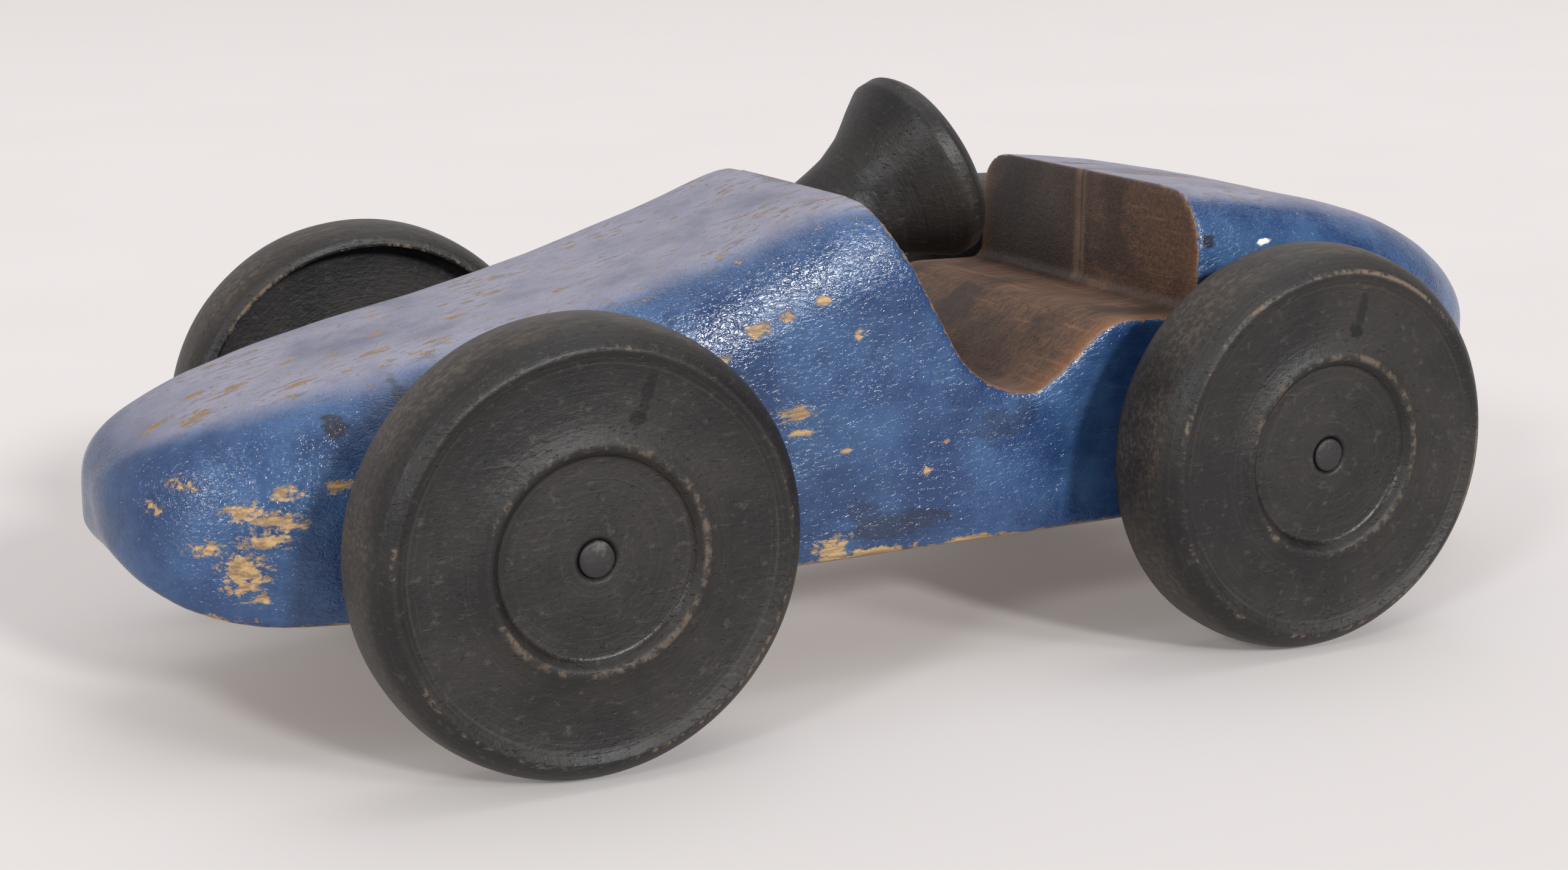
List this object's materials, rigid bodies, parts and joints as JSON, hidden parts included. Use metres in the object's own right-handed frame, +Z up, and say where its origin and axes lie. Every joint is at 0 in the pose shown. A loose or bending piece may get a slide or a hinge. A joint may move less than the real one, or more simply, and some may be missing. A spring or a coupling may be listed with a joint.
{
  "type": "wooden toy racing car",
  "caption": "Hand-made wooden toy racing car with an open sawn cockpit, rolling dowel axles with glued turned wheels, and a turning trumpet-shaped steering knob.",
  "frame": {"origin": "on the ground, under the middle of the car's overall length and width", "axes": "+X towards the nose, +Y towards the driver's left, +Z up"},
  "size_m": [0.383, 0.1728, 0.1369],
  "materials": {
    "blue_painted_wood": "worn satin-gloss blue paint on solid wood, bare brown wood on the sawn cockpit faces",
    "black_turned_wood": "black stained and painted turned wood, worn brown-grey on the tread and ridges",
    "black_knob_wood": "black stained turned wood, satin",
    "axle_dowel": "hardwood dowel, its ends painted over black",
    "bare_peg_dowel": "bare hardwood dowel"
  },
  "bodies": {
    "car_body": {"left_body_half": "blue_painted_wood", "right_body_half": "blue_painted_wood"},
    "front_wheelset": {"front_axle": "axle_dowel", "front_left_wheel": "black_turned_wood", "front_right_wheel": "black_turned_wood"},
    "rear_wheelset": {"rear_axle": "axle_dowel", "rear_left_wheel": "black_turned_wood", "rear_right_wheel": "black_turned_wood"},
    "steering": {"steering_knob": "black_knob_wood", "steering_peg": "bare_peg_dowel"}
  },
  "joints": [
    {"name": "front_axle_spin", "type": "hinge", "parent": "car_body", "child": "front_wheelset", "pos_m": [0.1055, 0, 0.05], "axis": [0, 1, 0], "continuous": true},
    {"name": "rear_axle_spin", "type": "hinge", "parent": "car_body", "child": "rear_wheelset", "pos_m": [-0.0845, 0, 0.05], "axis": [0, 1, 0], "continuous": true},
    {"name": "steering_turn", "type": "hinge", "parent": "car_body", "child": "steering", "pos_m": [0.01178, 0, 0.0995], "axis": [-0.8988, 0, 0.4384], "continuous": true}
  ]
}
